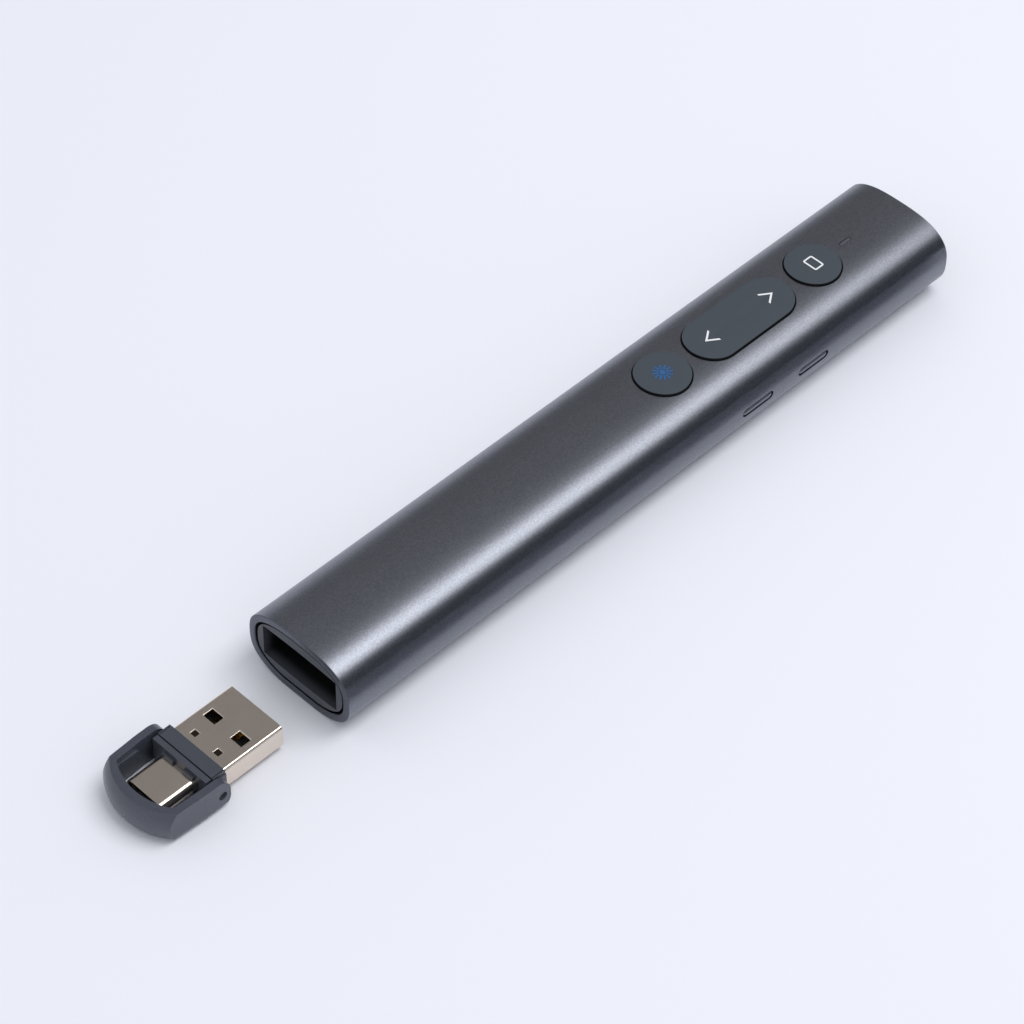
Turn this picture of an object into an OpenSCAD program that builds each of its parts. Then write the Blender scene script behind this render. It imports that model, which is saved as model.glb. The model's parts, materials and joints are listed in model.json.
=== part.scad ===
// Wireless presentation clicker and its two-ended USB receiver, as separate pieces.
// Millimetres. +X runs from the receiver to the laser nose, +Z is up, and Z = 0 is the
// surface that the clicker and the receiver lie on. X = 0 is the middle of the whole length.

/* [Body] */
// Wall of the tube
wall = 1.3; // [1.2:0.1:1.5]
// Power of the tube's rounded section, where 2 is an ellipse
section_power = 2.7; // [2.5:0.1:3.1]
// How far the end plugs sit inside the tube's rims
plug_recess = 0.2; // [0.1:0.1:0.8]
// Gap round the end plugs, seen as a dark line
plug_gap = 0.45; // [0.2:0.05:0.6]
// Length of the tube past the status light
nose_l = 14.6; // [14:0.2:24]

/* [Top keys] */
// Distance from each round key to the middle of the page rocker
key_pitch = 18.75; // [18:0.25:20]
// Distance between the centres of the rocker's round ends
rocker_span = 13.6; // [12.5:0.1:14.5]
// Radius of the key holes and of the rocker hole's ends
key_hole_r = 5.2; // [5:0.1:5.4]
// Gap between a key and its hole
key_gap = 0.25; // [0.2:0.05:0.35]
// How far the keys stand out of the tube
key_proud = 0.4; // [0.2:0.1:0.6]
// Travel of a key
key_travel = 0.4; // [0.2:0.05:0.4]
// Distance from the screen key to the status light
led_pitch = 8.4; // [8:0.2:10]
// Length of the status light's slot
led_l = 2.7; // [2:0.1:3.2]

/* [Side controls] */
// Distance between the two side keys
side_pitch = 13.9; // [12:0.1:15]
// Length of a side key's slot
side_slot_l = 7.5; // [7:0.1:8]
// Height of a side key's slot
side_slot_h = 1.8; // [1.6:0.1:2]
// Travel of a side key
side_travel = 0.35; // [0.2:0.05:0.4]
// Length of the power knob
power_knob_l = 4; // [3.5:0.1:4.5]
// Travel of the power knob
power_travel = 2; // [1.6:0.1:2.2]

/* [Battery] */
// Diameter of the AAA cell
cell_d = 10.5; // [10:0.1:10.5]
// Length of the AAA cell's can
cell_l = 43.5; // [43:0.1:43.5]
// Length of the cell's nub
nub_l = 1; // [0.8:0.1:1.2]
// Gap between the cell and the tube, above and below
cell_gap = 0.45; // [0.35:0.05:1]
// Width of the battery door
door_w = 12.4; // [12:0.1:13]
// Gap round the battery door
door_gap = 0.2; // [0.15:0.05:0.3]

/* [Dock] */
// Clearance beside the bow in the dock's mouth
mouth_gap = 0.15; // [0.1:0.05:0.3]
// Clearance above and below the bow in the middle of the mouth
mouth_rise = 0.35; // [0.35:0.05:0.5]
// How much lower the mouth is at its sides
mouth_crown = 0.5; // [0.2:0.05:0.5]
// Rim of the dock's insert beside its mouth
dock_rim = 1.35; // [1:0.05:1.6]
// Depth of the wide part of the dock
mouth_depth = 14.6; // [14.5:0.1:15]
// Clearance all round the plug in its well
well_gap = 0.4; // [0.3:0.05:0.5]

/* [Receiver] */
// Gap between the parked receiver and the clicker's tail
park_gap = 8.95; // [8:0.05:12]
// Length of the USB-A shell outside the collar
usb_a_l = 12.25; // [12:0.05:12.5]
// Width of the USB-A shell
usb_a_w = 12; // [12:0.05:12.1]
// Height of the USB-A shell
usb_a_h = 4.5; // [4.5:0.05:4.6]
// Corner radius of the USB-A shell
usb_a_corner = 0.6; // [0.4:0.05:0.8]
// Length of the USB-C shell outside the core
usb_c_l = 6.7; // [6.4:0.05:6.8]
// Width of the USB-C shell
usb_c_w = 8.3; // [8.2:0.05:8.4]
// Height of the USB-C shell
usb_c_h = 2.45; // [2.4:0.05:2.5]
// Length of the collar
collar_l = 2.5; // [2.4:0.1:2.6]
// Wall of the collar beside the USB-A shell
collar_wall = 0.35; // [0.3:0.05:0.5]
// Gap between the collar and each arm of the bow
arm_gap = 0.45; // [0.4:0.05:0.6]
// Height of the swivel bow
bow_h = 6.3; // [6.2:0.1:6.5]
// Wall of the bow's side arms
bow_arm = 1.35; // [1.2:0.05:1.4]
// Wall of the bow's round end
bow_bar = 1.6; // [1.4:0.05:1.7]
// Radius of the bow's round end at its rims
bow_r = 11.1; // [10.5:0.1:12]
// Radius of the inner side of the bow's round end
bow_inner_r = 12.2; // [11:0.1:13]
// How far the round end swells between its rims
bow_bulge = 1.2; // [0.6:0.1:1.4]
// Angle by which each arm leans in towards the round end
bow_taper = 3; // [1:0.5:4]
// Radius along the lower outer edge of each arm
bow_edge_r = 1.2; // [0.6:0.1:1.4]
// Distance from the bow's hinge to the rims of its round end
bow_reach = 12; // [11.8:0.1:12]
// Distance from the collar's front face to the bow's hinge
hinge_back = 2.2; // [2.1:0.05:2.3]
// Radius of the hinge pins
pin_r = 0.75; // [0.65:0.05:0.8]

/* [Hidden] */
cut = 1;            // how far a cutter runs past a face
round_fn = 48;
running = 0.05;     // radial running clearance of a pin or an axle
seat = 0.1;         // clearance between seated pieces
clear = 0.3;        // clearance between moving pieces and what they pass
overlap = 0.1;      // how far joined shapes of one piece run into each other
foot_sink = 0.15;   // the section dips this far below the flat foot that is cut from it
section_steps = 96;
mouth_steps = 12;

// The tube's section closes round the cell and the dock
body_h = cell_d + 2*(cell_gap + wall);
collar_w = usb_a_w + 2*collar_wall;
bow_w = collar_w + 2*(arm_gap + bow_arm);
mouth_w = bow_w + 2*mouth_gap;
mouth_h = bow_h + 2*mouth_rise;
body_w = mouth_w + 2*(dock_rim + plug_gap + wall);
mid_z = body_h/2;

// Half height of the tube's skin above z = mid_z at the distance y from the middle
function skin_rise(y, inset) =
    (body_h/2 - inset)*pow(1 - pow(abs(y)/(body_w/2 - inset), section_power), 1/section_power);

// Dock
dock_z = mid_z;
well_spare = 0.4;
insert_back = 1.2;
well_l = usb_a_l + well_spare;
insert_end = plug_recess + mouth_depth + well_l + insert_back;

// Battery bay, from the tail
frame_wall = 1.2;
plate_t = 0.3;
plate_w = 8;
plate_h = 6;
spring_l = 1.6;
spring_wire = 0.5;
spring_turns = 3;
spring_big_r = 3.4;
spring_small_r = 2;
nub_r = 1.9;
bay_x = insert_end + seat;
cell_x = bay_x + frame_wall + plate_t + spring_l;
cell_end = cell_x + cell_l + nub_l;
mid_wall_x = cell_end + plate_t;
rail_gap = 0.3;
rail_y = cell_d/2 + rail_gap;
rail_t = 1.8;
rail_half_h = 3.5;
web_w = 7;

// Battery door
door_start = 3;
door_end_gap = 0.5;
door_x = bay_x + frame_wall + door_start;
door_end = cell_x + cell_l - door_end_gap;
hook_w = 1.6;
hook_y = 4.4;
hook_root_l = 3;
hook_reach = 1.2;
hook_rise = 0.45;
hook_t = 0.5;
grip_w = 7;
grip_line = 0.7;
grip_pitch = 1.6;
grip_depth = 0.35;

// Places of the controls, from the tail
key_r = key_hole_r - key_gap;
flange_r = key_hole_r + 0.4;
laser_key_x = mid_wall_x + flange_r + 0.25;
rocker_x = laser_key_x + key_pitch;
screen_key_x = rocker_x + key_pitch;
led_x = screen_key_x + led_pitch;
volume_down_x = rocker_x - side_pitch/2;
volume_up_x = rocker_x + side_pitch/2;
power_x = rocker_x;
body_l = led_x + nose_l;

// Places along X
recv_l = usb_a_l + hinge_back + bow_reach + bow_bulge;
total_l = body_l + park_gap + recv_l;
tail_x = recv_l + park_gap - total_l/2;
plug_tip_x = tail_x - park_gap;
collar_x = plug_tip_x - usb_a_l;
recv_z = bow_h/2;

// Keys and the dome switches below them, stacked down from the tube's inner skin
flange_t = 0.7;
flange_top = mid_z + skin_rise(flange_r, wall) - clear;
stem_r = 1.5;
stem_drop = 0.05;
press_spare = 0.05;
tilt_spare = 0.08;
switch_w = 4.2;
switch_h = 1;
plunger_h = 0.3;
plunger_r = 1;
rocker_tilt = 2;
rocker_switch_x = 6.3;
rocker_flange_top = flange_top - (rocker_span/2 + flange_r)*sin(rocker_tilt);
rocker_stem_low = rocker_flange_top - flange_t - stem_drop;
plunger_top = rocker_stem_low - tilt_spare - (rocker_switch_x + stem_r)*sin(rocker_tilt);
key_stem_low = plunger_top + key_travel + press_spare;
axle_r = 0.5;
axle_drop = 0.3;
axle_z = rocker_flange_top - flange_t - axle_drop;
bracket_y = flange_r + clear;
bracket_t = 1.2;
bracket_l = 2.2;
bracket_base_t = 0.35;
bracket_top = 1;
axle_y = bracket_y + bracket_t - 0.2;
dimple_r = 2.4;
dimple_depth = 0.12;
dimple_x = 5.9;

// Inner frame and circuit board
frame_gap = 0.15;
floor_z = wall + 1.5;
pcb_t = 0.8;
pcb_top = plunger_top - plunger_h - switch_h;
pcb_bottom = pcb_top - pcb_t;
pcb_side = 2.1;
pcb_w = body_w - 2*(wall + pcb_side);
pcb_start = 0.5;
pcb_past_led = 3.2;
pcb_x = mid_wall_x + frame_wall + pcb_start;
pcb_end = led_x + pcb_past_led;
post_r = 1.6;
post_y = 5.6;
screw_r = 0.8;
screw_head_r = 1.4;
screw_head_h = 0.9;
screw_l = 4.5;
screw_slot = [1.6, 0.3, 0.5];
post_spots = [(laser_key_x + rocker_x - rocker_span/2)/2,
    (rocker_x + rocker_span/2 + screen_key_x)/2];
chip_w = 4;
chip_h = 0.9;
crystal_size = [2.6, 3.2, 0.8];
led_size = [1.6, 0.8, 0.6];
pipe_gap = 0.1;
led_slot_r = 0.4;

// Laser
laser_r = 3;
laser_l = 8.4;
laser_gap = 0.6;
laser_x = pcb_end + laser_gap;
laser_bore = 2.5;
beam_r = 1.6;
lens_t = 1;
nose_cup = 2.2;
nose_plug_x = laser_x + laser_l - nose_cup;
nose_plug_l = body_l - plug_recess - nose_plug_x;
cradle_side = 1.2;
cradle_drop = 0.4;

// Side controls
side_z = mid_z - 0.2;
side_gap = 0.2;
side_flange_y = body_w/2 - wall - 0.25;
side_flange_t = 0.6;
side_grow = 0.5;
side_stem_r = 0.9;
side_stem_l = 0.7;
side_stem_y = side_flange_y - side_flange_t - side_stem_l;
side_plunger_y = side_stem_y - side_travel - press_spare;
side_plunger_r = 0.7;
side_plunger_l = 0.5;
side_switch_d = 3;
side_switch_drop = 1.1;
slide_switch_l = 7;
power_slot_h = 2.2;
power_lever = 1.4;
knob_recess = 0.15;
knob_ridge = 0.3;
knob_ridge_pitch = 0.8;

// Receiver, measured from the collar's front face
shell_t = 0.3;
shell_c_t = 0.2;
shell_back = 1.2;
big_hole = [1.9, 2.5];
big_hole_at = [6.1, 3.13];
small_dent = [1, 1.1, 0.2];
small_dent_at = [1.85, 2.65];
collar_h = 5.5;
collar_line_w = 0.16;
collar_line_depth = 0.25;
collar_rail = 0.3;
shoulder_w = collar_w + arm_gap;
shoulder_h = 4.2;
shoulder_past = 1.3;
neck_w = collar_w - 3.5;
neck_h = 2.4;
neck_l = 1;
core_x = -collar_l - seat;
core_w = collar_w - 0.4;
core_h = collar_h - 0.1;
core_step = 1.15;
core_base = 0.5;
core_groove = 0.12;
base_w = usb_c_w - 1.3;
base_h = usb_c_h + 1.25;
base_notch = 2.2;
usb_c_root = core_x - core_step - core_base;
usb_c_tip = usb_c_root - usb_c_l;
usb_c_back = core_x - 0.45;
usb_c_liner_gap = 0.03;
usb_c_mouth = 0.5;
usb_c_slot_h = 1.1;
usb_c_side = 1.6;
pad_l = 4.5;
pad_w = 0.24;
pad_t = 0.08;
pad_pitch = 0.5;
pad_x = 1.2;
tongue_x = 2.7;
tongue_t = 1.85;
tongue_low = -usb_a_h/2 + shell_t + running;
tongue_side = 0.15;
tongue_mouth = 0.4;
contact_t = 0.1;
contact_w = 1;
contact_mouth = 0.9;
contact_inner_y = 1;
contact_outer_y = 3.5;
contact_inner_l = 6.4;
contact_outer_l = 7.4;
recv_pcb_t = 0.6;
recv_pcb_w = usb_c_w - 2;
recv_chip_l = 3;
recv_chip_h = 0.7;
pin_inner_y = collar_w/2 - 1.45;
pin_recess = 0.5;
pin_seat = 0.03;
ear_r = 2.5;
ear_reach = 1.6;
ear_x = ear_reach - ear_r;
bow_straight = 3.2;
bulge_r = (pow(bow_h/2, 2) + pow(bow_bulge, 2))/(2*bow_bulge);
bow_far = bow_reach + bow_bulge + cut;
grip_pad_l = 5.3;
grip_pad_h = 3.6;
grip_pad_r = 0.8;
grip_pad_x = -3.9;
grip_pad_z = 0.2;
grip_pad_proud = 0.55;

/* Helpers */

// Rounded section of the tube, drawn in by inset and raised by lift, with its flat foot
function section_points(inset, lift) =
    let (a = body_w/2 - inset,
         b_up = body_h/2 - inset + lift,
         b_down = body_h/2 - inset + foot_sink,
         t_foot = asin(pow((mid_z - inset)/b_down, section_power/2)))
    [for (i = [0:section_steps])
        let (t = i*(180 + 2*t_foot)/section_steps - t_foot,
             b = sin(t) < 0 ? b_down : b_up)
        [a*sign(cos(t))*pow(abs(cos(t)), 2/section_power),
         mid_z + b*sign(sin(t))*pow(abs(sin(t)), 2/section_power)]];

// A bar along X with the tube's section, starting x from the tail
module section_bar(x, l, inset = 0, lift = 0) {
    translate([tail_x + x, 0, 0]) rotate([90, 0, 90]) linear_extrude(l)
        polygon(section_points(inset, lift));
}

// A box given by its start, its size along X, its width across Y and its two heights
module slab(x, l, w, z0, z1) {
    translate([tail_x + x, -w/2, z0]) cube([l, w, z1 - z0]);
}

// Outline with round ends, l long and 2*r wide, along X
module pill(l, r) {
    for (s = [-1, 1]) translate([s*(l/2 - r), 0]) circle(r = r, $fn = round_fn);
    square([l - 2*r, 2*r], center = true);
}

// Rectangle w by h with round corners, about its middle
module rounded(w, h, r) {
    square([w, h - 2*r], center = true);
    square([w - 2*r, h], center = true);
    for (i = [-1, 1], j = [-1, 1])
        translate([i*(w/2 - r), j*(h/2 - r)]) circle(r = r, $fn = round_fn);
}

// Places its children x from the tail
module from_tail(x, y = 0, z = 0) {
    translate([tail_x + x, y, z]) children();
}

// Places its children, drawn in X and Z and extruded outward, on a side wall: side is 1 or -1
module on_side(x, side, y, t) {
    from_tail(x, side > 0 ? y + t : -y, side_z) rotate([90, 0, 0]) linear_extrude(t) children();
}

/* Housing */

module body_tube() {
    color("#4b4f58") difference() {
        section_bar(0, body_l);
        section_bar(-cut, body_l + 2*cut, wall);
        for (x = [laser_key_x, screen_key_x])
            from_tail(x, 0, mid_z) cylinder(r = key_hole_r, h = body_h, $fn = round_fn);
        from_tail(rocker_x, 0, mid_z) linear_extrude(body_h)
            pill(rocker_span + 2*key_hole_r, key_hole_r);
        from_tail(led_x, 0, mid_z) linear_extrude(body_h) pill(led_l, led_slot_r);
        for (x = [volume_down_x, volume_up_x])
            on_side(x, -1, body_w/2 - wall - cut, wall + 2*cut)
                pill(side_slot_l, side_slot_h/2);
        on_side(power_x, 1, body_w/2 - wall - cut, wall + 2*cut)
            pill(power_knob_l + power_travel + 2*side_gap, power_slot_h/2);
        slab(door_x, door_end - door_x, door_w, -cut, wall + cut);
    }
}

module dock_insert() {
    color("#5f646b") difference() {
        section_bar(plug_recess, insert_end - plug_recess, wall + plug_gap);
        from_tail(0, 0, dock_z) rotate([90, 0, 90])
            linear_extrude(plug_recess + mouth_depth) mouth_outline();
        slab(plug_recess + mouth_depth - cut, well_l + cut, usb_a_w + 2*well_gap,
            dock_z - usb_a_h/2 - well_gap, dock_z + usb_a_h/2 + well_gap);
    }
}

// Mouth of the dock: upright sides, with a crowned top and bottom
module mouth_outline() {
    polygon([for (side = [1, -1], i = [-mouth_steps:mouth_steps])
        let (t = side*i/mouth_steps)
        [-mouth_w/2*t, side*(mouth_h/2 - mouth_crown/2*t*t)]]);
}

module nose_plug() {
    color("#3c4047") difference() {
        section_bar(nose_plug_x, nose_plug_l, wall + plug_gap);
        from_tail(nose_plug_x - cut, 0, mid_z) rotate([0, 90, 0])
            cylinder(r = laser_r + seat, h = cut + laser_x + laser_l + seat - nose_plug_x,
                $fn = round_fn);
        from_tail(nose_plug_x, 0, mid_z) rotate([0, 90, 0])
            cylinder(r = beam_r, h = nose_plug_l + cut, $fn = round_fn);
    }
}

// Tray with the battery bay, the floor under the board and the laser's cradle
module inner_frame() {
    color("#2e3136") difference() {
        union() {
            for (s = [-1, 1])
                from_tail(bay_x, s*(rail_y + rail_t/2) - rail_t/2, mid_z - rail_half_h)
                    cube([mid_wall_x + frame_wall - bay_x, rail_t, 2*rail_half_h]);
            for (x = [bay_x, mid_wall_x])
                slab(x, frame_wall, 2*(rail_y + rail_t), mid_z - rail_half_h,
                    mid_z + rail_half_h);
            slab(mid_wall_x, frame_wall, web_w, floor_z - overlap, mid_z);
            intersection() {
                section_bar(mid_wall_x, nose_plug_x - seat - mid_wall_x, wall + frame_gap);
                slab(mid_wall_x, body_l, body_w, 0, floor_z);
            }
            for (x = post_spots, s = [-1, 1])
                from_tail(x, s*post_y, floor_z - overlap)
                    cylinder(r = post_r, h = pcb_bottom - floor_z + overlap, $fn = round_fn);
            slab(laser_x + seat, nose_plug_x - 2*seat - laser_x, 2*(laser_r + cradle_side),
                floor_z - overlap, mid_z - cradle_drop);
        }
        for (x = post_spots, s = [-1, 1])
            from_tail(x, s*post_y, pcb_top - screw_l - clear)
                cylinder(r = screw_r + running, h = screw_l + cut, $fn = round_fn);
        from_tail(laser_x, 0, mid_z) rotate([0, 90, 0])
            cylinder(r = laser_r + running, h = laser_l + cut, $fn = round_fn);
    }
}

// Strip of the tube's own wall, with two hooks at its nose end
module battery_door() {
    door_l = door_end - door_x - 2*door_gap;
    color("#454952") {
        intersection() {
            difference() {
                section_bar(door_x + door_gap, door_l);
                section_bar(door_x, door_l + 2*door_gap, wall);
            }
            slab(door_x, door_l + 2*door_gap, door_w - 2*door_gap, -cut, wall + cut);
            difference() {
                slab(door_x, door_l + 2*door_gap, body_w, -cut, mid_z);
                for (i = [0:3])
                    slab(door_x + 2*grip_pitch + grip_pitch*i, grip_line, grip_w - i, -2*cut,
                        grip_depth);
            }
        }
        for (s = [-1, 1]) translate([0, s*hook_y - hook_w/2, 0]) {
            from_tail(door_end - door_gap - hook_root_l, 0, wall - overlap)
                cube([hook_root_l, hook_w, overlap + hook_rise + hook_t]);
            from_tail(door_end - door_gap - overlap, 0, wall + hook_rise)
                cube([hook_reach + overlap, hook_w, hook_t]);
        }
    }
}

/* Battery and its contacts */

module battery_cell() {
    color("#8d9196") from_tail(cell_x, 0, mid_z) rotate([0, 90, 0]) {
        cylinder(d = cell_d, h = cell_l, $fn = round_fn);
        cylinder(r = nub_r, h = cell_l + nub_l, $fn = round_fn);
    }
}

// Points of one ring of the conical spring's wire, i steps along
function coil_ring(i, steps, sides) =
    let (t = i/steps, turn = 360*spring_turns*t,
         r = spring_big_r + (spring_small_r - spring_big_r)*t,
         x = spring_wire/2 + running + (spring_l - spring_wire - 2*running)*t)
    [for (j = [0:sides - 1])
        let (a = 360*j/sides, q = r + spring_wire/2*cos(a))
        [x + spring_wire/2*sin(a), q*cos(turn), q*sin(turn)]];

module battery_spring() {
    steps = 16*spring_turns;
    sides = 8;
    points = [for (i = [0:steps]) each coil_ring(i, steps, sides)];
    faces = concat(
        [for (i = [0:steps - 1], j = [0:sides - 1])
            [i*sides + j, i*sides + (j + 1)%sides, (i + 1)*sides + (j + 1)%sides,
             (i + 1)*sides + j]],
        [[for (j = [0:sides - 1]) sides - 1 - j]],
        [[for (j = [0:sides - 1]) steps*sides + j]]);
    color("#c9ccd0") from_tail(bay_x + frame_wall + plate_t, 0, mid_z)
        polyhedron(points = points, faces = faces);
}

module spring_plate() {
    color("#c9ccd0") slab(bay_x + frame_wall, plate_t, plate_w, mid_z - plate_h/2,
        mid_z + plate_h/2);
}

module positive_contact() {
    color("#c9ccd0") slab(cell_end, plate_t, plate_w, mid_z - plate_h/2, mid_z + plate_h/2);
}

/* Circuit board */

module main_pcb() {
    color("#1d5b3a") difference() {
        slab(pcb_x, pcb_end - pcb_x, pcb_w, pcb_bottom, pcb_top);
        for (x = post_spots, s = [-1, 1])
            from_tail(x, s*post_y, pcb_bottom - cut)
                cylinder(r = screw_r + seat, h = pcb_t + 2*cut, $fn = round_fn);
    }
}

module radio_chip() {
    color("#1c1d1f") slab(post_spots[1] - chip_w/2, chip_w, chip_w, pcb_top,
        pcb_top + chip_h);
}

module crystal() {
    color("#c4c6c9") slab(post_spots[0] - crystal_size[0]/2, crystal_size[0],
        crystal_size[1], pcb_top, pcb_top + crystal_size[2]);
}

module pcb_screws() {
    color("#8a8d92") for (x = post_spots, s = [-1, 1])
        from_tail(x, s*post_y, pcb_top) difference() {
            union() {
                cylinder(r = screw_head_r, h = screw_head_h, $fn = round_fn);
                translate([0, 0, -screw_l])
                    cylinder(r = screw_r, h = screw_l, $fn = round_fn);
            }
            for (a = [0, 90]) rotate(a)
                translate([-screw_slot[0]/2, -screw_slot[1]/2, screw_head_h - screw_slot[2]])
                    cube([screw_slot[0], screw_slot[1], cut]);
        }
}

// Dome switch under a key, x from the tail
module top_switch(x) {
    color("#b9bcc0") from_tail(x, 0, pcb_top) {
        translate([-switch_w/2, -switch_w/2, 0]) cube([switch_w, switch_w, switch_h]);
        cylinder(r = plunger_r, h = switch_h + plunger_h, $fn = round_fn);
    }
}

module laser_switch() { top_switch(laser_key_x); }

module page_down_switch() { top_switch(rocker_x - rocker_switch_x); }

module page_up_switch() { top_switch(rocker_x + rocker_switch_x); }

module screen_switch() { top_switch(screen_key_x); }

// Edge switch under the board, facing the side key
module edge_switch(x) {
    face_y = side_plunger_y - side_plunger_l;
    color("#b9bcc0") {
        from_tail(x - switch_w/2, -face_y, side_z - side_switch_drop)
            cube([switch_w, side_switch_d, pcb_bottom - side_z + side_switch_drop]);
        from_tail(x, overlap - face_y, side_z) rotate([90, 0, 0])
            cylinder(r = side_plunger_r, h = side_plunger_l + overlap, $fn = round_fn);
    }
}

module volume_down_switch() { edge_switch(volume_down_x); }

module volume_up_switch() { edge_switch(volume_up_x); }

module slide_switch() {
    color("#a9acb1") from_tail(power_x - slide_switch_l/2,
        side_stem_y - clear - side_switch_d, side_z - side_switch_drop)
        cube([slide_switch_l, side_switch_d, pcb_bottom - side_z + side_switch_drop]);
}

// Bridge on the board whose two ears carry the rocker's axle
module rocker_bracket() {
    color("#5a5d63") from_tail(rocker_x, 0, pcb_top) difference() {
        union() {
            translate([-bracket_l/2, -bracket_y - bracket_t, 0])
                cube([bracket_l, 2*(bracket_y + bracket_t), bracket_base_t]);
            for (s = [-1, 1])
                translate([-bracket_l/2, s*(bracket_y + bracket_t/2) - bracket_t/2, 0])
                    cube([bracket_l, bracket_t, axle_z - pcb_top + bracket_top]);
        }
        translate([0, 0, axle_z - pcb_top]) rotate([90, 0, 0])
            cylinder(r = axle_r + running, h = body_w, center = true, $fn = round_fn);
    }
}

module status_led() {
    color("#f2f2ea") slab(led_x - led_size[0]/2, led_size[0], led_size[1], pcb_top,
        pcb_top + led_size[2]);
}

// Clear light guide from just above the light to the tube's skin
module light_pipe() {
    pipe_low = pcb_top + led_size[2] + pipe_gap;
    color("#dfe6ea") from_tail(led_x, 0, pipe_low)
        linear_extrude(body_h - running - pipe_low)
            pill(led_l - 2*pipe_gap, led_slot_r - pipe_gap);
}

/* Laser */

module laser_module() {
    color("#b08d4c") from_tail(laser_x, 0, mid_z) rotate([0, 90, 0]) difference() {
        cylinder(r = laser_r, h = laser_l, $fn = round_fn);
        translate([0, 0, laser_l - laser_bore])
            cylinder(r = beam_r, h = laser_bore + cut, $fn = round_fn);
    }
}

module laser_lens() {
    color("#bcd0dd") from_tail(laser_x + laser_l - 2*lens_t, 0, mid_z) rotate([0, 90, 0])
        cylinder(r = beam_r - running, h = lens_t, $fn = round_fn);
}

/* Keys */

// Crowned cap that follows the tube's skin, cut to the outline given as its child
module cap(flange_high) {
    intersection() {
        translate([0, 0, flange_high - flange_t]) linear_extrude(body_h) children();
        section_bar(0, body_l, 0, key_proud);
    }
}

module round_key(x) {
    cap(flange_top) translate([tail_x + x, 0]) circle(r = key_r, $fn = round_fn);
    from_tail(x, 0, flange_top - flange_t) cylinder(r = flange_r, h = flange_t, $fn = round_fn);
    from_tail(x, 0, key_stem_low)
        cylinder(r = stem_r, h = flange_top - key_stem_low - overlap, $fn = round_fn);
}

module laser_key() { color("#4b535b") round_key(laser_key_x); }

module screen_key() { color("#4b535b") round_key(screen_key_x); }

// Long key on an axle, with a thumb dimple near each end
module page_rocker() {
    color("#4b535b") difference() {
        union() {
            cap(rocker_flange_top) translate([tail_x + rocker_x, 0])
                pill(rocker_span + 2*key_r, key_r);
            from_tail(rocker_x, 0, rocker_flange_top - flange_t) linear_extrude(flange_t)
                pill(rocker_span + 2*flange_r, flange_r);
            for (s = [-1, 1])
                from_tail(rocker_x + s*rocker_switch_x, 0, rocker_stem_low)
                    cylinder(r = stem_r, h = rocker_flange_top - rocker_stem_low - overlap,
                        $fn = round_fn);
            from_tail(rocker_x, 0, axle_z) {
                rotate([90, 0, 0])
                    cylinder(r = axle_r, h = 2*axle_y, center = true, $fn = round_fn);
                translate([-axle_r, -flange_r + axle_r, 0]) cube([2*axle_r,
                    2*(flange_r - axle_r), rocker_flange_top - axle_z - overlap]);
            }
        }
        for (s = [-1, 1])
            from_tail(rocker_x + s*dimple_x, 0,
                body_h + key_proud + dimple_r - dimple_depth)
                sphere(r = dimple_r, $fn = round_fn);
    }
}

module side_key(x) {
    color("#4b535b") {
        on_side(x, -1, side_flange_y - side_flange_t, body_w/2 - side_flange_y + side_flange_t)
            pill(side_slot_l - 2*side_gap, side_slot_h/2 - side_gap);
        on_side(x, -1, side_flange_y - side_flange_t, side_flange_t)
            pill(side_slot_l + 2*side_grow, side_slot_h/2 + side_grow);
        on_side(x, -1, side_stem_y, side_stem_l + overlap)
            circle(r = side_stem_r, $fn = round_fn);
    }
}

module volume_down_key() { side_key(volume_down_x); }

module volume_up_key() { side_key(volume_up_x); }

// Ridged knob at the tail end of its slot
module power_knob() {
    knob_x = power_x - power_travel/2;
    root_y = side_flange_y - side_flange_t;
    color("#3a3d43") difference() {
        union() {
            on_side(knob_x, 1, root_y, body_w/2 - root_y - knob_recess)
                pill(power_knob_l, power_slot_h/2 - side_gap);
            on_side(knob_x, 1, root_y, side_flange_t)
                pill(power_knob_l + power_travel + power_lever, power_slot_h/2 + side_grow);
            on_side(knob_x, 1, side_stem_y, side_stem_l + overlap)
                square([power_lever, power_lever], center = true);
        }
        for (i = [-1:1])
            from_tail(knob_x + knob_ridge_pitch*i - knob_ridge/2,
                body_w/2 - knob_recess - knob_ridge, side_z - power_slot_h)
                cube([knob_ridge, cut, 2*power_slot_h]);
    }
}

/* Receiver */

// Places its children with X from the collar's front face and Z from the receiver's middle
module at_collar(x = 0, y = 0, z = 0) {
    translate([collar_x + x, y, recv_z + z]) children();
}

// Box centred on the receiver's middle plane, from x0 to x1
module block(x0, x1, w, h, z = 0) {
    at_collar((x0 + x1)/2, 0, z) cube([x1 - x0, w, h], center = true);
}

// Bar along X with round corners, drawn in by inset, from x0 to x1
module usb_a_bar(x0, x1, inset) {
    at_collar(x0) rotate([90, 0, 90]) linear_extrude(x1 - x0)
        rounded(usb_a_w - 2*inset, usb_a_h - 2*inset, usb_a_corner - inset);
}

// Plug shell with two square holes through its top and bottom, and two small dents in its top
module usb_a_shell() {
    color("#c8c3bc") difference() {
        usb_a_bar(-shell_back, usb_a_l, 0);
        usb_a_bar(-shell_back - cut, usb_a_l + cut, shell_t);
        for (s = [-1, 1]) {
            at_collar(big_hole_at[0] - big_hole[0]/2, s*big_hole_at[1] - big_hole[1]/2, -usb_a_h)
                cube([big_hole[0], big_hole[1], 2*usb_a_h]);
            at_collar(small_dent_at[0] - small_dent[0]/2, s*small_dent_at[1] - small_dent[1]/2,
                usb_a_h/2 - small_dent[2])
                cube([small_dent[0], small_dent[1], cut]);
        }
    }
}

module usb_a_tongue() {
    color("#232427") block(tongue_x, usb_a_l - tongue_mouth,
        usb_a_w - 2*(shell_t + tongue_side), tongue_t, tongue_low + tongue_t/2);
}

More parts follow.
